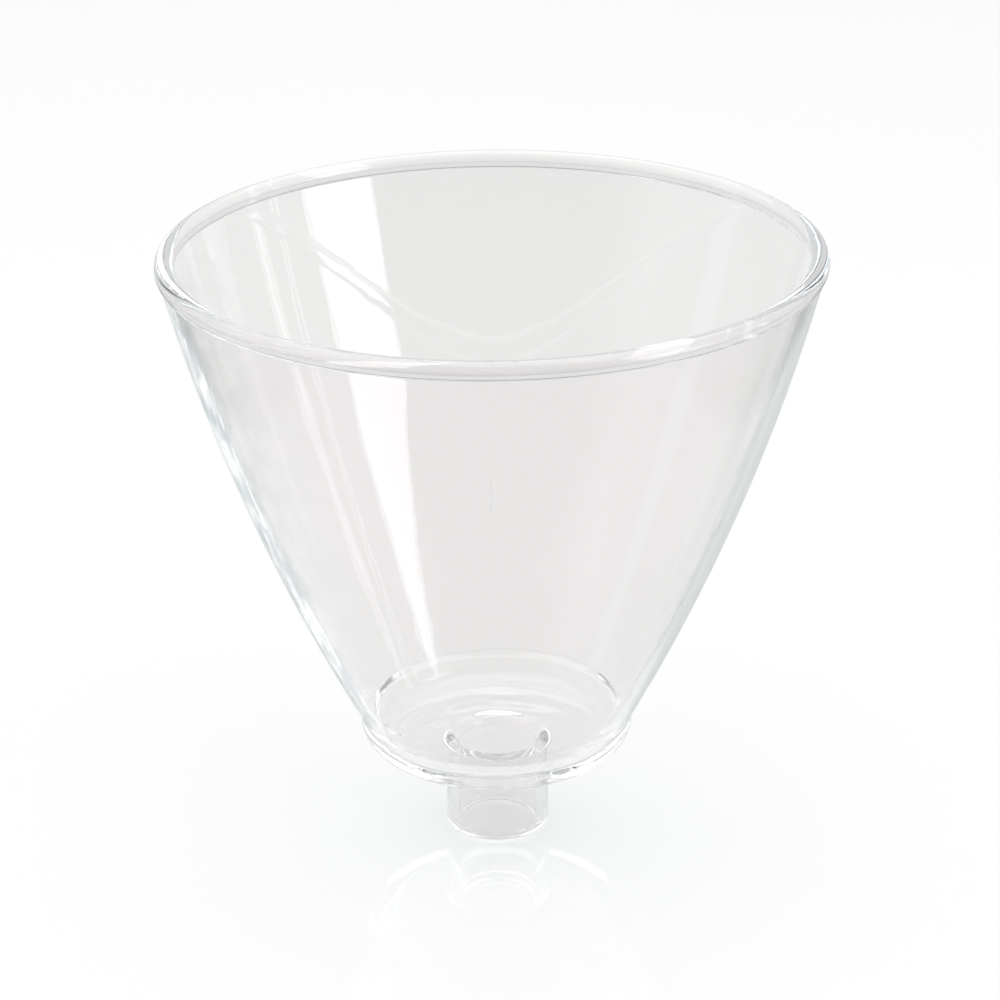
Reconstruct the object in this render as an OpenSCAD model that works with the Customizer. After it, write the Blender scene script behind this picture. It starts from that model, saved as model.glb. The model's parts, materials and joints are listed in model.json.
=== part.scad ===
// Glass pour over dripper: a bowed conical bowl with a beaded rim, a short heel and a drain tube.
// It stands on the end of its drain tube, +Z up, with the origin at the centre of that end.
// The bowl, heel, floor, drain seal, tube and tube end are worked one by one and fused in a flame,
// so each is a ring of its own that meets the next one face to face at the fused joint.

/* [Rim] */
// Outer diameter over the rim bead
rim_d = 132; // [105:1:165]
// Thickness of the round bead at the rim
bead_d = 3.9; // [3.2:0.1:5.2]
// How far the bead stands out past the wall
bead_proud = 0.4; // [0:0.1:0.8]

/* [Bowl] */
// Height from the end of the drain tube to the top of the bead
height = 126; // [100:1:158]
// Thickness of the bowl's wall, square to its face
wall_t = 2.4; // [1.8:0.1:3.1]
// How far the wall bows outward from a straight cone, halfway up
wall_bow = 3.3; // [1:0.1:6]

/* [Heel] */
// Outer diameter of the heel
heel_d = 55.8; // [46:0.2:70]
// Height from the heel's flat underside to the crease where the bowl starts
heel_h = 7.7; // [6.4:0.1:10]
// Radius of the heel's lower outside corner
heel_corner_r = 6.2; // [3:0.1:6.4]
// Thickness of the floor at its outer edge
floor_t = 3.2; // [2.6:0.1:4]
// How far the floor falls from its outer edge to the drain seal
floor_fall = 0.6; // [0.2:0.1:0.9]
// Radius of the inside corner between the wall and the floor
inside_corner_r = 4.4; // [3:0.1:5]

/* [Drain] */
// Outer diameter of the drain tube
tube_d = 21; // [18:0.5:27]
// Thickness of the drain tube's wall
tube_t = 2.4; // [1.8:0.1:2.9]
// Length of the tube below the heel's underside
tube_len = 18.4; // [12:0.2:26]
// Radius of the rounded edge where the floor turns down into the bore
drain_edge_r = 2.2; // [1.4:0.1:2.3]
// Radius of the fused fillet between the heel's underside and the tube
seal_fillet_r = 1.4; // [0.8:0.1:1.8]
// Radius of the fire-polished edges at the tube's end
tube_end_r = 0.7; // [0.3:0.05:0.8]
// Height of the fire-polished end ring
tube_end_h = 2.4; // [1.5:0.1:4]

/* [Hidden] */
$fn = 96;

glass = [0.86, 0.91, 0.90, 0.45];
seal_land = 0.5; // flat width of the seal ring outside its fillet
wall_steps = 28; // straight steps that follow the wall's arc
corner_steps = 10; // straight steps that follow each small corner

rim_r = rim_d / 2;
bead_r = bead_d / 2;
bead_centre = [rim_r - bead_r, height - bead_r];

heel_r = heel_d / 2;
heel_z = tube_len;
crease_z = heel_z + heel_h;

tube_r = tube_d / 2;
bore_r = tube_r - tube_t;
seal_z = heel_z - seal_fillet_r;
seal_r = tube_r + seal_fillet_r + seal_land;

// The wall's outer face is an arc from the crease to the bead, bowed out by wall_bow.
wall_foot = [heel_r, crease_z];
wall_head = [rim_r - bead_proud, bead_centre[1]];
chord = wall_head - wall_foot;
chord_len = norm(chord);
bow_r = chord_len * chord_len / (8 * wall_bow) + wall_bow / 2;
outward = [chord[1], -chord[0]] / chord_len;
bow_centre = (wall_foot + wall_head) / 2 - outward * (bow_r - wall_bow);

// Angle on an arc of radius r about bow_centre at height z, and the point there.
function bow_angle(r, z) = asin((z - bow_centre[1]) / r);
function bow_point(r, z) = bow_centre + r * [cos(bow_angle(r, z)), sin(bow_angle(r, z))];

// Points on a circular arc from angle a0 to a1.
function arc(centre, r, a0, a1, steps) =
    [for (i = [0:steps]) let (a = a0 + (a1 - a0) * i / steps) centre + r * [cos(a), sin(a)]];

// Points up or down one face of the wall between two heights.
function wall_face(r, z0, z1, steps) =
    arc(bow_centre, r, bow_angle(r, z0), bow_angle(r, z1), steps);

outer_bow = bow_r;
inner_bow = bow_r - wall_t;

// The inside corner is tangent to the floor's outer edge and to the wall's inner face.
floor_top = heel_z + floor_t;
corner_z = floor_top + inside_corner_r;
corner_bow = inner_bow - inside_corner_r;
corner_centre = bow_point(corner_bow, corner_z);
corner_angle = bow_angle(corner_bow, corner_z);
corner_top = corner_centre + inside_corner_r * [cos(corner_angle), sin(corner_angle)];
floor_r = corner_centre[0];

// The floor falls evenly from floor_r to the seal, and goes on at that slope to the drain's edge.
slope = atan(floor_fall / (floor_r - seal_r));
function floor_z(r) = floor_top - (floor_r - r) * tan(slope);
edge_centre_r = bore_r + drain_edge_r;
edge_centre_z = floor_z(edge_centre_r) - drain_edge_r / cos(slope);

module ring_of(points) {
    rotate_extrude() polygon(points);
}

module bead_section() {
    translate(bead_centre) circle(r = bead_r);
}

module rim_bead() {
    color(glass) rotate_extrude() bead_section();
}

module bowl_wall() {
    color(glass) rotate_extrude() difference() {
        polygon(concat(
            wall_face(outer_bow, crease_z, wall_head[1], wall_steps),
            wall_face(inner_bow, wall_head[1], crease_z, wall_steps)
        ));
        bead_section();
    }
}

module heel() {
    low_corner = [heel_r - heel_corner_r, heel_z + heel_corner_r];
    color(glass) ring_of(concat(
        [[floor_r, floor_top], [floor_r, heel_z]],
        arc(low_corner, heel_corner_r, -90, 0, corner_steps),
        [wall_foot],
        wall_face(inner_bow, crease_z, corner_top[1], 3),
        [for (p = arc(corner_centre, inside_corner_r, corner_angle, -90, corner_steps))
            if (p[1] < corner_top[1] - 0.01 && p[0] > floor_r + 0.01) p]
    ));
}

module floor_disc() {
    color(glass) ring_of([
        [seal_r, heel_z],
        [floor_r, heel_z],
        [floor_r, floor_top],
        [seal_r, floor_z(seal_r)]
    ]);
}

module drain_seal() {
    fillet_centre = [tube_r + seal_fillet_r, seal_z];
    edge_centre = [edge_centre_r, edge_centre_z];
    color(glass) ring_of(concat(
        [[bore_r, seal_z]],
        arc(fillet_centre, seal_fillet_r, 180, 90, corner_steps),
        [[seal_r, heel_z], [seal_r, floor_z(seal_r)]],
        arc(edge_centre, drain_edge_r, 90 + slope, 180, corner_steps)
    ));
}

module drain_tube() {
    color(glass) difference() {
        translate([0, 0, tube_end_h]) cylinder(h = seal_z - tube_end_h, r = tube_r);
        cylinder(h = height, r = bore_r);
    }
}

module tube_end_ring() {
    outer_edge = [tube_r - tube_end_r, tube_end_r];
    inner_edge = [bore_r + tube_end_r, tube_end_r];
    color(glass) ring_of(concat(
        [[bore_r, tube_end_h]],
        arc(inner_edge, tube_end_r, 180, 270, corner_steps),
        arc(outer_edge, tube_end_r, 270, 360, corner_steps),
        [[tube_r, tube_end_h]]
    ));
}

rim_bead();
bowl_wall();
heel();
floor_disc();
drain_seal();
drain_tube();
tube_end_ring();
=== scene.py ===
import json
import math

import bmesh
import bpy
from mathutils import Matrix, Vector


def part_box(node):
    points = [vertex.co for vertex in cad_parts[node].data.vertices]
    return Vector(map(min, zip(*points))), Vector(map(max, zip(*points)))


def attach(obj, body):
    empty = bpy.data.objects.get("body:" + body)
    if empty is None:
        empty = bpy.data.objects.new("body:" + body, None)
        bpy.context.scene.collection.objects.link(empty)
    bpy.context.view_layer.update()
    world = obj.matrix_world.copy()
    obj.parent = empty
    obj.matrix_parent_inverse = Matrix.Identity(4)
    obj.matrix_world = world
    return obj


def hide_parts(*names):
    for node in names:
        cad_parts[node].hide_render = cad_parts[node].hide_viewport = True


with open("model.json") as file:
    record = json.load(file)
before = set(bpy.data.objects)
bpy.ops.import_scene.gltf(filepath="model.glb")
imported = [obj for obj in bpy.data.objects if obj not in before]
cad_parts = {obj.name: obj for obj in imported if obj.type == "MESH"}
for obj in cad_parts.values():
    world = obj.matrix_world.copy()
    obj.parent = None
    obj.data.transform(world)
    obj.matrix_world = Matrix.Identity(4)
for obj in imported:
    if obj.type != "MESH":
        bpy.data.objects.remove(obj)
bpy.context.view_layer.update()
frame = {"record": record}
mm = 0.001


def boxMm(node):
    low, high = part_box(node)
    return low / mm, high / mm


def mountRadius(name):
    return next(m["dims"]["r_mm"] for m in frame["record"]["mounts"] if m["name"] == name)


# sizes from the frame, in millimetres: x is a radius, z a height above the tube's end
beadLow, beadHigh = boxMm("rim_bead")
heelLow, heelHigh = boxMm("heel")
floorLow, floorHigh = boxMm("floor_disc")
sealLow, sealHigh = boxMm("drain_seal")
endLow, endHigh = boxMm("tube_end_ring")

rimRadius = beadHigh.x
topZ = beadHigh.z
beadRadius = (beadHigh.z - beadLow.z) / 2
heelRadius = heelHigh.x
heelZ = heelLow.z
creaseZ = heelHigh.z
floorRadius = floorHigh.x
floorTop = floorHigh.z
sealRadius = sealHigh.x
tubeRadius = mountRadius("drain_tube_outside")
boreRadius = mountRadius("drain_bore")
endRingTop = endHigh.z


def polar(centre, radius, degrees):
    a = math.radians(degrees)
    return Vector((centre[0] + radius * math.cos(a), centre[1] + radius * math.sin(a)))


def angleOf(centre, point):
    return math.degrees(math.atan2(point[1] - centre[1], point[0] - centre[0]))


def arcPoints(centre, radius, start, end, step):
    count = max(2, round(abs(math.radians(end - start)) * radius / step))
    return [polar(centre, radius, start + (end - start) * i / count) for i in range(count + 1)]


def linePoints(a, b, step):
    count = max(2, round((Vector(b) - Vector(a)).length / step))
    return [Vector(a).lerp(Vector(b), i / count) for i in range(count + 1)]


def circlesMeet(c0, r0, c1, r1, nearZ):
    # the crossing of two circles whose height is closer to nearZ
    gap = Vector(c1) - Vector(c0)
    along = (gap.length_squared + r0 * r0 - r1 * r1) / (2 * gap.length)
    across = math.sqrt(max(r0 * r0 - along * along, 0))
    unit = gap.normalized()
    side = Vector((-unit.y, unit.x))
    points = [Vector(c0) + unit * along + side * across * s for s in (1, -1)]
    return min(points, key=lambda p: abs(p.y - nearZ))


def joined(*runs):
    out = []
    for run in runs:
        for p in run:
            if not out or (p - out[-1]).length > 1e-4:
                out.append(p)
    return out


def addNode(tree, kind, values=None, **settings):
    node = tree.nodes.new(kind)
    for name, value in settings.items():
        setattr(node, name, value)
    for name, value in (values or {}).items():
        if isinstance(value, bpy.types.NodeSocket):
            tree.links.new(value, node.inputs[name])
        else:
            node.inputs[name].default_value = value
    return node


def srgb(hexColour):
    parts = [int(hexColour[i:i + 2], 16) / 255 for i in (1, 3, 5)]
    return [c / 12.92 if c <= 0.04045 else ((c + 0.055) / 1.055) ** 2.4 for c in parts] + [1.0]


# how hand work shows in the glass, in millimetres
handWork = {
    "sway": 0.06,               # slow waves over the whole bowl
    "swaySize": (24, 40),       # the size of each kind of wave, across and along the axis
    "streaks": 0.030,           # fine streaks drawn down the wall
    "streakSize": (3.5, 70),
    "rings": 0.010,             # rings left by turning in the lathe
    "ringSize": (70, 2.6),
    "ringSpread": 1.4,          # how much a ring moves on for each step outwards
    "ringStart": 3,             # the rings grow from nothing over this height, so the end stays flat
    "lumps": 0.30,              # where the heel and the drain were pushed about in the flame
    "lumpSize": (8.5, 8.5),
    "lumpFade": 12,             # how far they fade out over above the heel's crease
    "lumpStart": (15, 18),      # and between which heights they set in, on the tube
    "seed": 4,
    "segments": 320,            # faces round the axis
    "weld": 0.0005,             # the last column closes onto the first
    "wholeJoint": 0.999,        # a face is on a joint when all its corners are
}


# the lathe: turns a closed section round the axis, works its surface a little
# by hand, and leaves the faces of the fused joints clear
def makeLatheTree():
    tree = bpy.data.node_groups.new("glassLathe", "GeometryNodeTree")
    for name, kind in (
        ("Section", "NodeSocketObject"), ("Segments", "NodeSocketInt"), ("Sway", "NodeSocketFloat"),
        ("Streaks", "NodeSocketFloat"), ("Rings", "NodeSocketFloat"), ("Lumps", "NodeSocketFloat"),
        ("Lump Height", "NodeSocketFloat"), ("Seed", "NodeSocketInt"),
        ("Glass", "NodeSocketMaterial"), ("Joint", "NodeSocketMaterial"),
    ):
        tree.interface.new_socket(name=name, in_out="INPUT", socket_type=kind)
    tree.interface.new_socket(name="Geometry", in_out="OUTPUT", socket_type="NodeSocketGeometry")
    given = addNode(tree, "NodeGroupInput").outputs

    def maths(operation, a, b=0.0):
        return addNode(tree, "ShaderNodeMath", {0: a, 1: b}, operation=operation).outputs[0]

    section = addNode(tree, "GeometryNodeObjectInfo", {"Object": given["Section"]}).outputs["Geometry"]
    count = addNode(tree, "GeometryNodeAttributeDomainSize", {"Geometry": section}).outputs["Point Count"]
    rows = maths("ADD", count, 1.0)
    grid = addNode(tree, "GeometryNodeMeshGrid", {
        "Vertices X": maths("ADD", given["Segments"], 1.0), "Vertices Y": rows}).outputs["Mesh"]

    # each column of the grid is one turned copy of the section
    index = addNode(tree, "GeometryNodeInputIndex").outputs[0]
    column = maths("FLOOR", maths("DIVIDE", index, rows))
    row = maths("MODULO", maths("SUBTRACT", index, maths("MULTIPLY", column, rows)), count)
    turn = maths("DIVIDE", maths("MODULO", column, given["Segments"]), given["Segments"])
    angle = maths("MULTIPLY", turn, 2 * math.pi)
    place = addNode(tree, "GeometryNodeInputPosition").outputs[0]
    at = addNode(tree, "GeometryNodeSampleIndex", {
        "Geometry": section, "Value": place, "Index": row}, data_type="FLOAT_VECTOR").outputs[0]
    flag = addNode(tree, "GeometryNodeInputNamedAttribute", {
        "Name": "fusedJoint"}, data_type="FLOAT").outputs[0]
    joint = addNode(tree, "GeometryNodeSampleIndex", {
        "Geometry": section, "Value": flag, "Index": row}, data_type="FLOAT").outputs[0]
    radius, _, height = addNode(tree, "ShaderNodeSeparateXYZ", {0: at}).outputs
    cosA, sinA = maths("COSINE", angle), maths("SINE", angle)
    x, y = maths("MULTIPLY", radius, cosA), maths("MULTIPLY", radius, sinA)

    # waves in the glass; each pattern is stretched to its own size across and along
    def waves(size, height, detail=1.0):
        across, along = (side * mm for side in size)
        scaled = addNode(tree, "ShaderNodeCombineXYZ", {
            0: maths("DIVIDE", x, across), 1: maths("DIVIDE", y, across),
            2: maths("DIVIDE", height, along)}).outputs[0]
        return addNode(tree, "ShaderNodeTexNoise", {
            "Vector": scaled, "W": given["Seed"], "Scale": 1.0, "Detail": detail,
        }, noise_dimensions="4D").outputs

    def centred(noise):
        return maths("SUBTRACT", noise[0], 0.5)

    sway = maths("MULTIPLY", centred(waves(handWork["swaySize"], height)), given["Sway"])
    streaks = maths("MULTIPLY", centred(waves(handWork["streakSize"], height)), given["Streaks"])
    travel = maths("ADD", height, maths("MULTIPLY", radius, handWork["ringSpread"]))
    rings = maths("MULTIPLY", centred(waves(handWork["ringSize"], travel)), given["Rings"])
    out = maths("ADD", maths("ADD", sway, streaks), rings)
    started = maths("MINIMUM", maths("DIVIDE", height, handWork["ringStart"] * mm), 1.0)
    up = maths("MULTIPLY", rings, started)
    turned = addNode(tree, "ShaderNodeCombineXYZ", {
        0: maths("MULTIPLY", cosA, maths("ADD", radius, out)),
        1: maths("MULTIPLY", sinA, maths("ADD", radius, out)),
        2: maths("ADD", height, up)}).outputs[0]

    # the lumps fade out above the heel, and below it where the tube is still as it was drawn
    lumpTop = maths("ADD", given["Lump Height"], handWork["lumpFade"] * mm)
    lumpLow, lumpFull = (z * mm for z in handWork["lumpStart"])
    above = addNode(tree, "ShaderNodeMapRange", {
        "Value": height, "From Min": given["Lump Height"], "From Max": lumpTop,
        "To Min": 1.0, "To Max": 0.0}, interpolation_type="SMOOTHSTEP").outputs[0]
    below = addNode(tree, "ShaderNodeMapRange", {
        "Value": height, "From Min": lumpLow, "From Max": lumpFull,
        "To Min": 0.0, "To Max": 1.0}, interpolation_type="SMOOTHSTEP").outputs[0]
    reach = maths("MULTIPLY", maths("MULTIPLY", above, below), given["Lumps"])
    push = addNode(tree, "ShaderNodeVectorMath", {
        0: waves(handWork["lumpSize"], height, 0.0)["Color"],
        1: (0.5, 0.5, 0.5)}, operation="SUBTRACT").outputs[0]
    lumps = addNode(tree, "ShaderNodeVectorMath", {0: push, "Scale": reach}, operation="SCALE").outputs[0]

    skin = addNode(tree, "GeometryNodeSetPosition", {
        "Geometry": grid, "Position": turned, "Offset": lumps}).outputs[0]
    marked = addNode(tree, "GeometryNodeStoreNamedAttribute", {
        "Geometry": skin, "Name": "fusedJoint", "Value": joint,
    }, data_type="FLOAT", domain="POINT").outputs[0]
    closed = addNode(tree, "GeometryNodeMergeByDistance", {
        "Geometry": marked, "Distance": handWork["weld"] * mm}).outputs[0]
    smooth = addNode(tree, "GeometryNodeSetShadeSmooth", {"Geometry": closed}).outputs[0]
    real = addNode(tree, "GeometryNodeRealizeInstances", {"Geometry": smooth}).outputs[0]
    glass = addNode(tree, "GeometryNodeSetMaterial", {
        "Geometry": real, "Material": given["Glass"]}).outputs[0]
    onJoint = addNode(tree, "GeometryNodeInputNamedAttribute", {
        "Name": "fusedJoint"}, data_type="FLOAT").outputs[0]
    whole = maths("GREATER_THAN", onJoint, handWork["wholeJoint"])
    done = addNode(tree, "GeometryNodeSetMaterial", {
        "Geometry": glass, "Selection": whole, "Material": given["Joint"]}).outputs[0]
    addNode(tree, "NodeGroupOutput", {"Geometry": done})
    return tree


glassFinish = {
    "tint": "#FBFAFA",      # clear
    "wallEdge": "#B8BDBB",  # grey-green where the eye looks along the wall: the glass's thickness tint, deepened by painted shade
    "beadEdge": "#EEF3F0",  # edge tint and painted shade for the bead; the solid bead carries light round, so it stays pale
    "endEdge": "#9FA6A4",   # the tube's cut end takes the most edge tint and painted shade
    "edgeFrom": 0.76,       # how far along the wall the eye looks where the edge tint and painted shade start
    "edgeFull": 0.97,       # and where it is full
    "ior": 1.473,
    "grain": 9,             # handling haze and the faintest relief, in patches of this many millimetres
    "relief": 0.004,        # millimetres
    "hazeFrom": 0.45,       # the part of the grain that carries haze
    "hazeFull": 0.75,
    "haze": 0.02,           # roughness where it is full
    "shade": "#F6F7F7",     # what one face of clear glass takes from the light behind it
    "wallBounces": 12.0,    # how often light runs on inside the glass before it is let out
    "beadBounces": 7.0,
}


# Borosilicate glass, drawn and flame-polished: dead smooth, clear, with bright thin highlights
# and darker edges where the wall is seen end on, its thickness tint deepened by painted shade. Handling
# leaves only the faintest haze.
def makeGlass(name, edgeTintAndShade, bounces):
    material = bpy.data.materials.new(name)
    material.use_nodes = True
    tree = material.node_tree
    tree.nodes.clear()
    spot = addNode(tree, "ShaderNodeTexCoord").outputs["Object"]
    grain = addNode(tree, "ShaderNodeTexNoise", {
        "Vector": spot, "Scale": 1 / (glassFinish["grain"] * mm), "Detail": 2.0}).outputs[0]
    bump = addNode(tree, "ShaderNodeBump", {
        "Height": grain, "Distance": glassFinish["relief"] * mm, "Strength": 1.0}).outputs[0]
    haze = addNode(tree, "ShaderNodeMapRange", {
        "Value": grain, "From Min": glassFinish["hazeFrom"], "From Max": glassFinish["hazeFull"],
        "To Min": 0.0, "To Max": glassFinish["haze"]}).outputs[0]
    # painted shade: the colour turns to the edge tint where the eye looks along the wall, for thicker
    # glass and the darker table its edges see
    slant = addNode(tree, "ShaderNodeLayerWeight", {"Blend": 0.5}).outputs["Facing"]
    along = addNode(tree, "ShaderNodeMapRange", {
        "Value": slant, "From Min": glassFinish["edgeFrom"], "From Max": glassFinish["edgeFull"],
        "To Min": 0.0, "To Max": 1.0}, interpolation_type="SMOOTHSTEP").outputs[0]
    tint = addNode(tree, "ShaderNodeMix", {
        0: along, 6: srgb(glassFinish["tint"]), 7: srgb(edgeTintAndShade)}, data_type="RGBA").outputs[2]
    surface = addNode(tree, "ShaderNodeBsdfPrincipled", {
        "Base Color": tint, "Transmission Weight": 1.0, "IOR": glassFinish["ior"],
        "Roughness": haze, "Normal": bump}).outputs[0]
    # lamps reach the table through the glass, and light that has run round inside long enough is let out
    path = addNode(tree, "ShaderNodeLightPath").outputs
    fromLamp = addNode(tree, "ShaderNodeMath", {
        0: path["Is Shadow Ray"], 1: path["Is Diffuse Ray"]}, operation="MAXIMUM").outputs[0]
    late = addNode(tree, "ShaderNodeMath", {
        0: path["Ray Depth"], 1: bounces}, operation="GREATER_THAN").outputs[0]
    straight = addNode(tree, "ShaderNodeMath", {0: fromLamp, 1: late}, operation="MAXIMUM").outputs[0]
    clear = addNode(tree, "ShaderNodeBsdfTransparent", {"Color": srgb(glassFinish["shade"])}).outputs[0]
    seen = addNode(tree, "ShaderNodeMixShader", {0: straight, 1: surface, 2: clear}).outputs[0]
    addNode(tree, "ShaderNodeOutputMaterial", {"Surface": seen})
    return material


# A fused joint: the two sections have run together, so nothing shows there at all.
def makeJoint():
    material = bpy.data.materials.new("fusedJointClear")
    material.use_nodes = True
    tree = material.node_tree
    tree.nodes.clear()
    clear = addNode(tree, "ShaderNodeBsdfTransparent").outputs[0]
    addNode(tree, "ShaderNodeOutputMaterial", {"Surface": clear})
    return material


latheTree = makeLatheTree()
wallGlass = makeGlass("flamePolishedBorosilicate", glassFinish["wallEdge"], glassFinish["wallBounces"])
beadGlass = makeGlass("fireRoundedBorosilicate", glassFinish["beadEdge"], glassFinish["beadBounces"])
endGlass = makeGlass("firePolishedTubeEnd", glassFinish["endEdge"], glassFinish["wallBounces"])
jointMaterial = makeJoint()
print("lathe and glass made")


# spacing of the points on joints, fillets and walls, in millimetres
jointStep, tinyStep, fine, flat, coarse = 0.4, 0.06, 0.22, 0.5, 1.0
jointGap = 0.5      # every joint is this far clear of the nearest fillet
sharpEdge = 50      # degrees between two faces


def makeSection(name, outside, inside):
    # a closed section; joints run from the end of one skin to the start of the other
    points, flags = [], []
    for skin, other in ((outside, inside or outside), (inside, outside)):
        if not skin:
            continue
        points += skin
        flags += [1.0] + [0.0] * (len(skin) - 2) + [1.0]
        between = linePoints(skin[-1], other[0], jointStep)[1:-1]
        points += between
        flags += [1.0] * len(between)
    mesh = bpy.data.meshes.new(name)
    edges = [(i, (i + 1) % len(points)) for i in range(len(points))]
    mesh.from_pydata([(p.x * mm, 0, p.y * mm) for p in points], edges, [])
    mark = mesh.attributes.new("fusedJoint", "FLOAT", "POINT")
    mark.data.foreach_set("value", flags)
    return bpy.data.objects.new(name, mesh)


def signedVolume(mesh):
    mesh.calc_loop_triangles()
    total = 0.0
    for t in mesh.loop_triangles:
        a, b, c = (mesh.vertices[i].co for i in t.vertices)
        total += a.dot(b.cross(c)) / 6
    return total


seedSides, seedRings = 32, 20


# air caught in the glass: an egg-shaped hollow, so its faces look inward
def addSeed(mesh, glassName, angle, r, z, across, along, deep):
    turn = Matrix.Rotation(math.radians(angle), 4, "Z")
    size = Matrix.Diagonal((deep * mm, across * mm, along * mm, 1.0))
    lean = Matrix.Rotation(math.radians(wallLean(z)), 4, "Y")
    place = turn @ Matrix.Translation((r * mm, 0, z * mm)) @ lean @ size
    solid = bmesh.new()
    solid.from_mesh(mesh)
    top = solid.verts.new(place @ Vector((0, 0, 1)))
    foot = solid.verts.new(place @ Vector((0, 0, -1)))
    rows = []
    for ring in range(1, seedRings):
        level = polar((0, 0), 1, 180 * ring / seedRings)
        spokes = [polar((0, 0), level.y, 360 * side / seedSides) for side in range(seedSides)]
        rows.append([solid.verts.new(place @ Vector((p.x, p.y, level.x))) for p in spokes])
    corners = []
    for side in range(seedSides):
        after = (side + 1) % seedSides
        corners.append((top, rows[0][after], rows[0][side]))
        for upper, lower in zip(rows, rows[1:]):
            corners.append((upper[after], lower[after], lower[side], upper[side]))
        corners.append((foot, rows[-1][side], rows[-1][after]))
    for run in corners:
        face = solid.faces.new(run)
        face.smooth = True
        face.material_index = mesh.materials.find(glassName)
    solid.to_mesh(mesh)
    solid.free()


def turnGlass(name, node, section, glass, seeds=()):
    sectionObject = makeSection(name + "Section", *section)
    bpy.context.scene.collection.objects.link(sectionObject)
    blank = bpy.data.objects.new(name + "Blank", bpy.data.meshes.new(name + "Blank"))
    bpy.context.scene.collection.objects.link(blank)
    lathe = blank.modifiers.new("lathe", "NODES")
    lathe.node_group = latheTree
    setting = {
        "Section": sectionObject, "Segments": handWork["segments"], "Seed": handWork["seed"],
        "Sway": handWork["sway"] * mm, "Streaks": handWork["streaks"] * mm,
        "Rings": handWork["rings"] * mm, "Lumps": handWork["lumps"] * mm,
        "Lump Height": creaseZ * mm, "Glass": glass, "Joint": jointMaterial,
    }
    for item in latheTree.interface.items_tree:
        if item.in_out == "INPUT":
            lathe[item.identifier] = setting[item.name]
    graph = bpy.context.evaluated_depsgraph_get()
    mesh = bpy.data.meshes.new_from_object(blank.evaluated_get(graph))
    mesh.name = name
    if signedVolume(mesh) < 0:
        mesh.flip_normals()
    mesh.attributes.remove(mesh.attributes["fusedJoint"])
    mesh.set_sharp_from_angle(angle=math.radians(sharpEdge))
    mesh.materials.pop(index=0)     # the grid's own empty slot
    for seed in seeds:
        addSeed(mesh, glass.name, **seed)
    bpy.data.objects.remove(blank)
    bpy.data.objects.remove(sectionObject)
    piece = bpy.data.objects.new(name, mesh)
    bpy.context.scene.collection.objects.link(piece)
    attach(piece, "root")
    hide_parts(node)
    print(f"{name}: {len(mesh.vertices)} vertices, {signedVolume(mesh) * 1e9:.0f} mm3")
    return piece


# the bowl's wall
bowlWall = {
    "thickness": 2.4,
    "bow": 3.3,             # how far it bows out from a straight cone, halfway up
    "beadProud": 0.4,       # how far the bead stands out past it
    "seeds": (              # air caught in the glass: place, then half its width, height and depth
        {"angle": 227.0, "r": 30.1, "z": 32.3, "across": 2.4, "along": 1.75, "deep": 0.40},
        {"angle": 269.3, "r": 57.4, "z": 97.0, "across": 0.16, "along": 4.2, "deep": 0.05},
    ),
}

beadCentre = Vector((rimRadius - beadRadius, topZ - beadRadius))
wallFoot = Vector((heelRadius, creaseZ))
wallHead = Vector((rimRadius - bowlWall["beadProud"], beadCentre.y))
chord = wallHead - wallFoot
bowRadius = chord.length_squared / (8 * bowlWall["bow"]) + bowlWall["bow"] / 2
outward = Vector((chord.y, -chord.x)).normalized()
bowCentre = (wallFoot + wallHead) / 2 - outward * (bowRadius - bowlWall["bow"])
innerRadius = bowRadius - bowlWall["thickness"]


def bowAngle(radius, z):
    return math.degrees(math.asin((z - bowCentre.y) / radius))


def wallLean(z):
    # how far the wall leans out from upright at a height
    return -bowAngle(bowRadius, z)


def outerWall(z0, z1, step=coarse):
    return arcPoints(bowCentre, bowRadius, bowAngle(bowRadius, z0), bowAngle(bowRadius, z1), step)


def innerWall(z0, z1, step=coarse):
    return arcPoints(bowCentre, innerRadius, bowAngle(innerRadius, z0), bowAngle(innerRadius, z1), step)


# the bead that closes the rim
rimBead = {
    "root": 0.5,            # fillets where the bead melts into the wall
    "step": 0.05,           # spacing of the points on them
}

root = rimBead["root"]
outerRoot = circlesMeet(beadCentre, beadRadius + root, bowCentre, bowRadius + root, beadLow.z)
innerRoot = circlesMeet(beadCentre, beadRadius + root, bowCentre, innerRadius - root, beadLow.z)
beadJointZ = min(outerRoot.y, innerRoot.y) - jointGap


def rimBeadSection():
    outTouch = polar(bowCentre, bowRadius, angleOf(bowCentre, outerRoot))
    inTouch = polar(bowCentre, innerRadius, angleOf(bowCentre, innerRoot))
    outBead, inBead = angleOf(beadCentre, outerRoot), angleOf(beadCentre, innerRoot) + 360
    outStart, outEnd = angleOf(outerRoot, outTouch) % 360, angleOf(outerRoot, beadCentre) % 360
    inStart, inEnd = angleOf(innerRoot, beadCentre), angleOf(innerRoot, inTouch)
    return joined(
        outerWall(beadJointZ, outTouch.y, fine),
        arcPoints(outerRoot, root, outStart, outEnd, rimBead["step"]),
        arcPoints(beadCentre, beadRadius, outBead, inBead, fine),
        arcPoints(innerRoot, root, inStart, inEnd, rimBead["step"]),
        innerWall(inTouch.y, beadJointZ, fine),
    ), []


turnGlass("rimBead", "rim_bead", rimBeadSection(), beadGlass)

# the heel
heelRing = {
    "crease": 1.4,          # fillet where the wall meets the heel
    "corner": 6.2,          # lower outside corner
    "insideCorner": 4.4,
}

# the floor
floorDisc = {
    "fall": 0.6,            # from its outer edge to the drain
}

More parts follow.
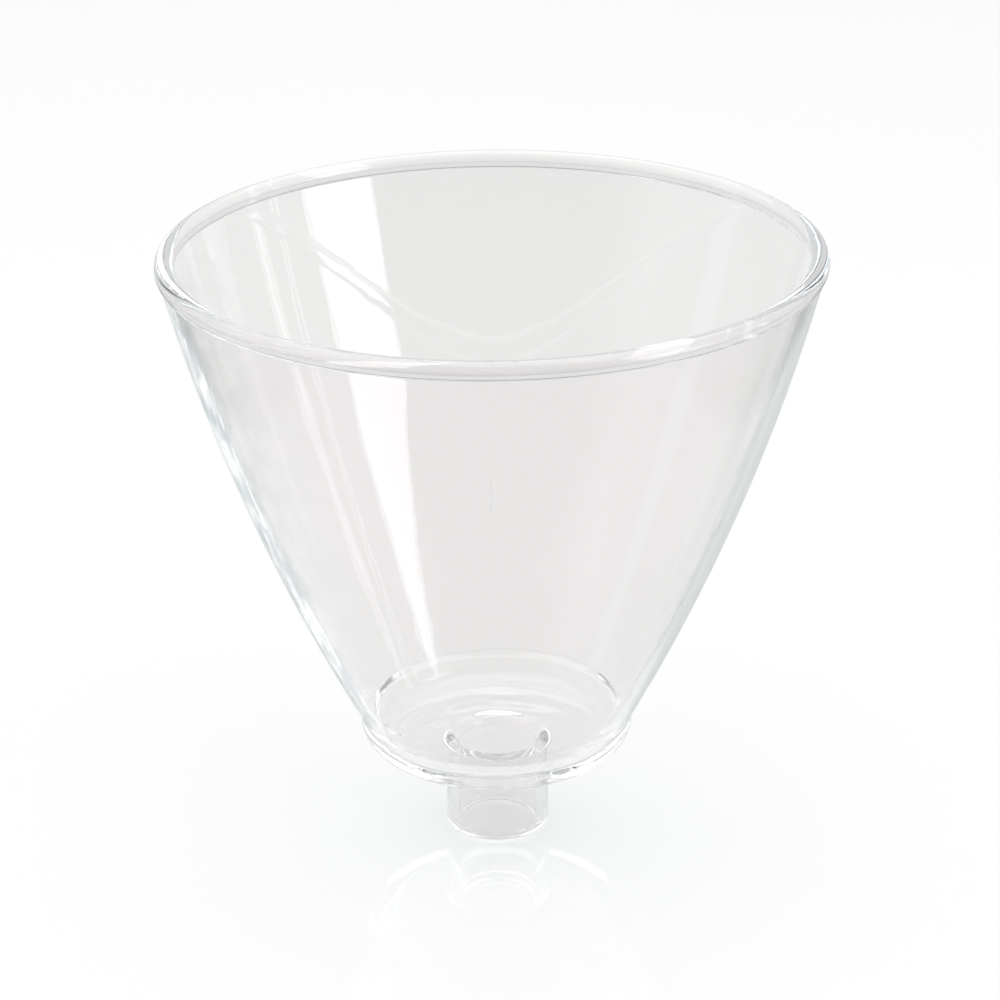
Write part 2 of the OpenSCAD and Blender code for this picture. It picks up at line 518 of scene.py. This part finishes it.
creaseX = heelRadius + heelRing["crease"]
creaseReach = bowRadius + heelRing["crease"]
creaseCentre = Vector((creaseX, bowCentre.y - math.sqrt(creaseReach ** 2 - (creaseX - bowCentre.x) ** 2)))
creaseJointZ = creaseCentre.y + jointGap
heelCorner = Vector((heelRadius - heelRing["corner"], heelZ + heelRing["corner"]))
insideRadius = innerRadius - heelRing["insideCorner"]
insideCentre = polar(bowCentre, insideRadius, bowAngle(insideRadius, floorTop + heelRing["insideCorner"]))
slope = math.degrees(math.atan(floorDisc["fall"] / (insideCentre.x - sealRadius)))
floorJointR = floorRadius - jointGap


def floorZ(r):
    return floorTop - (insideCentre.x - r) * math.tan(math.radians(slope))


def floorLine(r0, r1, step=flat):
    return linePoints((r0, floorZ(r0)), (r1, floorZ(r1)), step)


def bowlWallSection():
    return outerWall(creaseJointZ, beadJointZ), innerWall(beadJointZ, creaseJointZ)


turnGlass("bowlWall", "bowl_wall", bowlWallSection(), wallGlass, bowlWall["seeds"])


def heelSection():
    outTouch = polar(bowCentre, bowRadius, angleOf(bowCentre, creaseCentre))
    outside = joined(
        linePoints((floorJointR, heelZ), (heelCorner.x, heelZ), flat),
        arcPoints(heelCorner, heelRing["corner"], -90, 0, fine),
        linePoints((heelRadius, heelCorner.y), (heelRadius, creaseCentre.y), fine),
        arcPoints(creaseCentre, heelRing["crease"], 180, angleOf(creaseCentre, outTouch) % 360, tinyStep),
        outerWall(outTouch.y, creaseJointZ, fine),
    )
    topAngle = angleOf(bowCentre, insideCentre)
    cornerTop = polar(bowCentre, innerRadius, topAngle)
    cornerEnd = insideCentre.x + heelRing["insideCorner"] * math.sin(math.radians(slope))
    inside = joined(
        innerWall(creaseJointZ, cornerTop.y, fine),
        arcPoints(insideCentre, heelRing["insideCorner"], topAngle, -90 + slope, fine),
        floorLine(cornerEnd, floorJointR, fine),
    )
    return outside, inside


turnGlass("heelRing", "heel", heelSection(), wallGlass)


def floorDiscSection():
    return linePoints((sealRadius, heelZ), (floorJointR, heelZ), flat), floorLine(floorJointR, sealRadius)


turnGlass("floorDisc", "floor_disc", floorDiscSection(), wallGlass)

# the seal, where the tube's flared top was run into the floor
drainSeal = {
    "edge": 2.2,            # rounded edge where the floor turns down into the bore
    "edgeStep": 0.12,       # spacing of the points on it
    "fillet": 1.4,          # under the heel, round the tube
    "filletStep": 0.08,
    "below": 0.4,           # how far below the seal it is joined to the tube
}

edgeR = boreRadius + drainSeal["edge"]
edgeCentre = Vector((edgeR, floorZ(edgeR) - drainSeal["edge"] / math.cos(math.radians(slope))))
filletCentre = Vector((tubeRadius + drainSeal["fillet"], heelZ - drainSeal["fillet"]))
tubeJointZ = sealLow.z - drainSeal["below"]


def drainSealSection():
    outside = joined(
        linePoints((tubeRadius, tubeJointZ), (tubeRadius, filletCentre.y), fine),
        arcPoints(filletCentre, drainSeal["fillet"], 180, 90, drainSeal["filletStep"]),
        linePoints((filletCentre.x, heelZ), (sealRadius, heelZ), fine),
    )
    edgeTop = polar(edgeCentre, drainSeal["edge"], 90 + slope)
    inside = joined(
        floorLine(sealRadius, edgeTop.x, fine),
        arcPoints(edgeCentre, drainSeal["edge"], 90 + slope, 180, drainSeal["edgeStep"]),
        linePoints((boreRadius, edgeCentre.y), (boreRadius, tubeJointZ), fine),
    )
    return outside, inside


turnGlass("drainSeal", "drain_seal", drainSealSection(), wallGlass)

# the drain tube and its fire-polished end
tubeEnd = {
    "round": 0.9,           # both edges of the end
}


def drainTubeSection():
    return (
        linePoints((tubeRadius, endRingTop), (tubeRadius, tubeJointZ), coarse),
        linePoints((boreRadius, tubeJointZ), (boreRadius, endRingTop), coarse),
    )


def tubeEndSection():
    r = tubeEnd["round"]
    return joined(
        linePoints((boreRadius, endRingTop), (boreRadius, r), fine),
        arcPoints((boreRadius + r, r), r, 180, 270, tinyStep),
        arcPoints((tubeRadius - r, r), r, 270, 360, tinyStep),
        linePoints((tubeRadius, r), (tubeRadius, endRingTop), fine),
    ), []


turnGlass("drainTube", "drain_tube", drainTubeSection(), wallGlass)
turnGlass("tubeEnd", "tube_end_ring", tubeEndSection(), endGlass)

# a pale glossy table in a softly lit room, darker behind the camera; lengths in metres
table = {
    "size": 6.0,
    "drop": 0.00003,            # just under the glass, so that the two faces don't share a plane
    "colour": "#F8F8F8",
    "seen": "#EBEBEA",          # painted shade: the table darker as the glass gathers it, from a hand's breadth away
    "mirrored": "#F6F7F7",      # painted shade: the table as the glass mirrors it once, in front of the dripper
    "behind": "#DCE0DF",        # and darker still, as painted shade, beside and behind the dripper
    "behindFrom": (0.0, 0.05),  # how far back the one gives way to the other
    "deep": "#D8DCDB",          # painted shade: as it looks after light has run on inside the wall
    "gloss": 0.02,
    "ior": 1.8,
    "skyPatch": "#8FB0C8",      # painted reflection: blotches of sky and sun on the table, which the left edge of the glass picks up
    "sunPatch": "#FFFFFF",
    "sunGlow": 1.4,
    "patches": 52.0,            # blotches to the metre
    "patchEdge": (0.47, 0.53),
    "patchSide": (-0.03, -0.05),
    "shadeFrom": 0.152,         # painted shade: a darker strip along each side of the dripper
    "shadeTo": 0.21,
    "shadeEdge": 0.02,
    "shadeOnce": 0.25,          # how much of the strip a single mirroring shows
    "shadeLeft": 0.03,          # how much light is left in it
    "frontReach": 0.20,         # how far the painted light goes on towards the camera, before painted shade
    "frontEdge": 0.25,
    "frontOutside": 0.45,
}

# how brightly the room shines from each side
room = {
    "front": 0.16,              # the dark side, behind the camera, as mirrored in the glass
    "frontFrom": (-0.8, -0.35), # where that gives way to the rest
    "round": 0.72,
    "skirting": 0.80,           # the foot of the far wall, as bent by the glass
    "through": 0.40,            # and its upper part, as bent by the glass
    "throughFrom": (0.30, 0.50),
}

# overhead softbox
overhead = {
    "power": 18.0,              # watts
    "size": 2.6,
    "place": (-0.25, 0.5, 1.5),
}

# upright softboxes: degrees round from the camera towards its right, width in metres,
# degrees its top leans towards the camera, watts, colour
windows = {
    "windowSoftbox": (59.0, 0.66, 21.0, 4.6, "#FFFFFF"),
    "sideSoftbox": (98.0, 0.10, 0.0, 0.36, "#FFFFFF"),
    "sideSlit": (87.0, 0.04, 0.0, 0.14, "#FFFFFF"),
    "leftSoftbox": (-98.0, 0.30, 0.0, 0.26, "#EEF4FA"),
}
windowDistance = 1.5
windowHeight = 0.36             # of their middle
windowTall = 0.70


def ramp(tree, value, start, end, low, high):
    return addNode(tree, "ShaderNodeMapRange", {
        "Value": value, "From Min": start, "From Max": end, "To Min": low, "To Max": high,
    }, interpolation_type="SMOOTHSTEP").outputs[0]


# Pressed acrylic sheet: white with a clear hard gloss, so that it holds a faint mirror image.
# Rays that reach it through or off the glass find painted shade and painted light in its colour.
def makeTableMaterial():
    material = bpy.data.materials.new("glossyAcrylicTable")
    material.use_nodes = True
    tree = material.node_tree
    tree.nodes.clear()
    spot = addNode(tree, "ShaderNodeTexCoord").outputs["Object"]
    x, y, _ = addNode(tree, "ShaderNodeSeparateXYZ", {0: spot}).outputs
    path = addNode(tree, "ShaderNodeLightPath").outputs

    def maths(operation, a, b=0.0):
        return addNode(tree, "ShaderNodeMath", {0: a, 1: b}, operation=operation).outputs[0]

    def blend(amount, under, over, kind="MIX"):
        return addNode(tree, "ShaderNodeMix", {
            0: amount, 6: under, 7: over}, data_type="RGBA", blend_type=kind).outputs[2]

    # how often the ray was mirrored on its way: once off a face, or again and again inside the wall
    once = ramp(tree, path["Glossy Depth"], 0.4, 0.6, 0.0, 1.0)
    again = ramp(tree, path["Glossy Depth"], 1.4, 1.6, 0.0, 1.0)

    # painted shade along both sides and towards the front
    aside = maths("ABSOLUTE", x)
    shadeFrom, shadeTo, edge = table["shadeFrom"], table["shadeTo"], table["shadeEdge"]
    darker = ramp(tree, aside, shadeFrom, shadeFrom + edge, 1.0, table["shadeLeft"])
    lighter = ramp(tree, aside, shadeTo, shadeTo + edge, 0.0, 1.0)
    paintedShadeStrip = maths("MAXIMUM", darker, lighter)
    reach = -table["frontReach"]
    front = ramp(tree, y, reach, reach - table["frontEdge"], 1.0, table["frontOutside"])

    # painted reflection and light: patches of sky and sun on the left, the sun ones glowing
    blotch = addNode(tree, "ShaderNodeTexNoise", {
        "Vector": spot, "Scale": table["patches"], "Detail": 1.0}).outputs[0]
    sky = ramp(tree, blotch, *table["patchEdge"], 0.0, 1.0)
    toLeft = ramp(tree, x, *table["patchSide"], 0.0, 1.0)
    patch = blend(sky, srgb(table["sunPatch"]), srgb(table["skyPatch"]))
    deep = blend(toLeft, srgb(table["deep"]), patch)
    paintedSunGlow = maths("MULTIPLY", toLeft, maths("SUBTRACT", 1.0, sky))
    paintedSunGlow = maths("MULTIPLY", maths("MULTIPLY", paintedSunGlow, again), paintedShadeStrip)
    paintedSunGlow = maths("MULTIPLY", paintedSunGlow, table["sunGlow"])

    # what each kind of ray finds: the camera sees the table's own white, other rays darker copies as
    # painted shade
    back = ramp(tree, y, *table["behindFrom"], 0.0, 1.0)
    plain = blend(back, srgb(table["mirrored"]), srgb(table["behind"]))
    plain = blend(table["shadeOnce"], plain, paintedShadeStrip, "MULTIPLY")
    deep = blend(1.0, deep, paintedShadeStrip, "MULTIPLY")
    mirrored = blend(1.0, blend(again, plain, deep), front, "MULTIPLY")
    colour = blend(once, srgb(table["seen"]), mirrored)
    colour = blend(path["Is Camera Ray"], colour, srgb(table["colour"]))
    # the painted sun patches glow, though the table is no lamp
    surface = addNode(tree, "ShaderNodeBsdfPrincipled", {
        "Base Color": colour, "Roughness": table["gloss"], "IOR": table["ior"],
        "Emission Color": (1, 1, 1, 1), "Emission Strength": paintedSunGlow}).outputs[0]
    addNode(tree, "ShaderNodeOutputMaterial", {"Surface": surface})
    return material


def makeTable():
    half = table["size"] / 2
    around = ((-half, -half), (half, -half), (half, half), (-half, half))
    mesh = bpy.data.meshes.new("studioFloor")
    mesh.from_pydata([(x, y, -table["drop"]) for x, y in around], [], [(0, 1, 2, 3)])
    mesh.materials.append(makeTableMaterial())
    floor = bpy.data.objects.new("studioFloor", mesh)
    bpy.context.scene.collection.objects.link(floor)


def areaLight(name, place, target, size, power, lean=0.0, colour="#FFFFFF"):
    light = bpy.data.lights.new(name, "AREA")
    light.shape = "RECTANGLE"
    light.size, light.size_y = size
    light.energy = power
    light.color = srgb(colour)[:3]
    lamp = bpy.data.objects.new(name, light)
    lamp.location = place
    lamp.rotation_euler = (Vector(target) - Vector(place)).to_track_quat("-Z", "Y").to_euler()
    lamp.rotation_euler.rotate_axis("Z", math.radians(lean))
    bpy.context.scene.collection.objects.link(lamp)
    return lamp


def onCircle(distance, degrees, height):
    # degrees are counted from the camera's side of the object towards its right
    a = math.radians(degrees)
    return distance * math.sin(a), -distance * math.cos(a), height


makeTable()
left, back, _ = overhead["place"]
areaLight("topSoftbox", overhead["place"], (left, back, 0), (overhead["size"], overhead["size"]),
          overhead["power"])
for name, (degrees, width, lean, power, colour) in windows.items():
    place = onCircle(windowDistance, degrees, windowHeight)
    areaLight(name, place, (0, 0, windowHeight), (width, windowTall), power, lean, colour)


# the room's light: seen straight, mirrored in the glass, or bent by it
def makeWorld():
    world = bpy.data.worlds.new("studioWorld")
    bpy.context.scene.world = world
    world.use_nodes = True
    tree = world.node_tree
    tree.nodes.clear()

    def maths(operation, a, b, clamp=False):
        return addNode(tree, "ShaderNodeMath", {
            0: a, 1: b}, operation=operation, use_clamp=clamp).outputs[0]

    def mix(amount, a, b):
        return addNode(tree, "ShaderNodeMix", {0: amount, 2: a, 3: b}, data_type="FLOAT").outputs[0]

    heading = addNode(tree, "ShaderNodeTexCoord").outputs["Generated"]
    _, depth, above = addNode(tree, "ShaderNodeSeparateXYZ", {0: heading}).outputs
    path = addNode(tree, "ShaderNodeLightPath").outputs
    mirrored = maths("MINIMUM", path["Glossy Depth"], 1.0)
    bent = maths("MINIMUM", path["Transmission Depth"], 1.0)
    through = maths("SUBTRACT", bent, path["Diffuse Depth"], True)
    around = ramp(tree, depth, *room["frontFrom"], room["front"], room["round"])
    beyond = ramp(tree, above, *room["throughFrom"], room["skirting"], room["through"])
    strength = mix(mirrored, mix(through, room["round"], beyond), around)
    background = addNode(tree, "ShaderNodeBackground", {
        "Color": (1, 1, 1, 1), "Strength": strength}).outputs[0]
    addNode(tree, "ShaderNodeOutputWorld", {"Surface": background})


makeWorld()
print("studio lit")

# angles in degrees, place in metres
cameraView = {
    "lens": 124.4,
    "sensor": 36.0,
    "near": 0.01,
    "far": 20.0,
    "place": (0, -0.6425, 0.3422),
    "pitch": 22.8,
    "roll": 0.57,
    "yaw": -0.098,
}

camera = bpy.data.objects.new("camera", bpy.data.cameras.new("camera"))
camera.data.lens = cameraView["lens"]
camera.data.sensor_width = cameraView["sensor"]
camera.data.clip_start = cameraView["near"]
camera.data.clip_end = cameraView["far"]
camera.location = cameraView["place"]
pitch, roll, yaw = (math.radians(cameraView[name]) for name in ("pitch", "roll", "yaw"))
camera.matrix_world = (
    Matrix.Translation(camera.location) @ Matrix.Rotation(yaw, 4, "Z")
    @ Matrix.Rotation(math.pi / 2 - pitch, 4, "X") @ Matrix.Rotation(-roll, 4, "Z")
)
bpy.context.scene.collection.objects.link(camera)
bpy.context.scene.camera = camera

# clear glass needs many bounces, or its edges go black
scene = bpy.context.scene
scene.view_settings.view_transform = "Standard"
scene.view_settings.exposure = 0.0
scene.cycles.max_bounces = 32
scene.cycles.transmission_bounces = 32
scene.cycles.transparent_max_bounces = 48
scene.cycles.glossy_bounces = 32

print("scene made")
